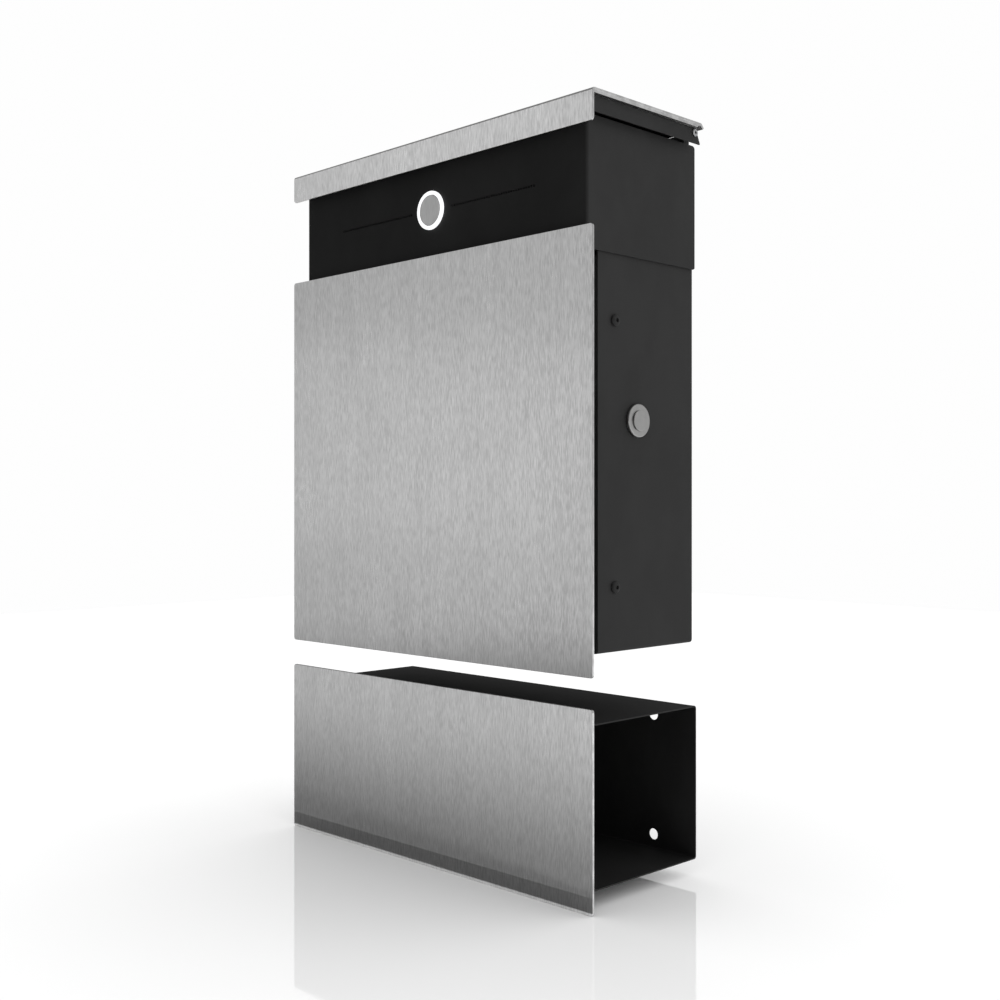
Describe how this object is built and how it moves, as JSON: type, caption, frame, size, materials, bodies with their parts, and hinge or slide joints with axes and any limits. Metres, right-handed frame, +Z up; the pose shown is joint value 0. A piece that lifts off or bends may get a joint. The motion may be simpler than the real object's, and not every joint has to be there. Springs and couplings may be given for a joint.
{
  "type": "wall mounted mailbox",
  "caption": "Wall mailbox in black steel with brushed stainless lid, door and newspaper panel, a side lock, a ringed bell push in the hood and an open newspaper sleeve below.",
  "frame": {"origin": "middle of the mailbox's flat back face, on the wall plane", "axes": "+Z up, +Y into the wall, +X to the right of someone who faces the mailbox"},
  "size_m": [0.38, 0.1425, 0.6214],
  "materials": {
    "black_powder_coat": "fine-textured satin powder coat",
    "brushed_stainless": "stainless, brushed along one direction",
    "zinc_plated_steel": "bright zinc plating",
    "nickel_plated_brass": "satin nickel",
    "luminous_ring": "translucent white, lit from behind",
    "black_rubber": "matt",
    "grey_nylon": "moulded",
    "bond_tape": "closed-cell acrylic foam"
  },
  "bodies": {
    "mailbox": {"bell_barrel": "zinc_plated_steel", "bell_gasket": "black_rubber", "bell_guard": "black_powder_coat", "bell_nut": "zinc_plated_steel", "bell_ring": "luminous_ring", "bell_switch": "black_rubber", "body_casing": "black_powder_coat", "cable_grommet": "black_rubber", "door_buffer_lower": "black_rubber", "door_buffer_upper": "black_rubber", "hinge_bracket_lower": "zinc_plated_steel", "hinge_bracket_upper": "zinc_plated_steel", "hinge_pin_lower": "zinc_plated_steel", "hinge_pin_upper": "zinc_plated_steel", "hinge_rivet_lower_bottom": "zinc_plated_steel", "hinge_rivet_lower_top": "zinc_plated_steel", "hinge_rivet_upper_bottom": "zinc_plated_steel", "hinge_rivet_upper_top": "zinc_plated_steel", "hood_shell": "black_powder_coat", "left_rail": "black_powder_coat", "lid_buffer_left": "black_rubber", "lid_buffer_right": "black_rubber", "lock_housing": "nickel_plated_brass", "lock_nut": "zinc_plated_steel", "news_panel": "brushed_stainless", "news_sleeve": "black_powder_coat", "news_tape_lower": "bond_tape", "news_tape_upper": "bond_tape", "right_rail": "black_powder_coat", "side_nut_left_lower": "zinc_plated_steel", "side_nut_left_upper": "zinc_plated_steel", "side_nut_right_lower": "zinc_plated_steel", "side_nut_right_upper": "zinc_plated_steel", "side_screw_left_lower": "black_powder_coat", "side_screw_left_upper": "black_powder_coat", "side_screw_right_lower": "black_powder_coat", "side_screw_right_upper": "black_powder_coat"},
    "lid": {"lid_cover": "brushed_stainless", "lid_carrier": "black_powder_coat", "lid_pin_left": "zinc_plated_steel", "lid_pin_right": "zinc_plated_steel", "lid_spacer_left": "grey_nylon", "lid_spacer_right": "grey_nylon"},
    "door": {"door_panel": "brushed_stainless", "door_liner": "black_powder_coat", "strike_hook": "zinc_plated_steel", "door_tape_upper": "bond_tape", "door_tape_middle": "bond_tape", "door_tape_lower": "bond_tape", "hinge_leaf_upper": "zinc_plated_steel", "hinge_leaf_lower": "zinc_plated_steel"},
    "lock_plug_and_cam": {"lock_plug": "nickel_plated_brass", "lock_cam": "zinc_plated_steel", "cam_screw": "zinc_plated_steel"},
    "lock_dust_cover": {"lock_cover": "nickel_plated_brass"},
    "bell_button": {"bell_cap": "brushed_stainless"}
  },
  "joints": [
    {"name": "lid_hinge", "type": "hinge", "parent": "mailbox", "child": "lid", "pos_m": [0, -0.0116, 0.2137], "axis": [-1, 0, 0], "range_deg": [0, 70]},
    {"name": "door_hinge", "type": "hinge", "parent": "mailbox", "child": "door", "pos_m": [-0.176, -0.134, 0], "axis": [0, 0, -1], "range_deg": [0, 100]},
    {"name": "lock_turn", "type": "hinge", "parent": "mailbox", "child": "lock_plug_and_cam", "pos_m": [0.176, -0.0735, -0.025], "axis": [-1, 0, 0], "range_deg": [0, 90]},
    {"name": "lock_cover_swing", "type": "hinge", "parent": "mailbox", "child": "lock_dust_cover", "pos_m": [0.176, -0.0735, -0.0181], "axis": [1, 0, 0], "range_deg": [-110, 110]},
    {"name": "bell_press", "type": "slide", "parent": "mailbox", "child": "bell_button", "axis": [0, 1, 0], "range_m": [0, 0.0015], "stiffness_N_per_m": 400, "springref_m": -0.003}
  ]
}
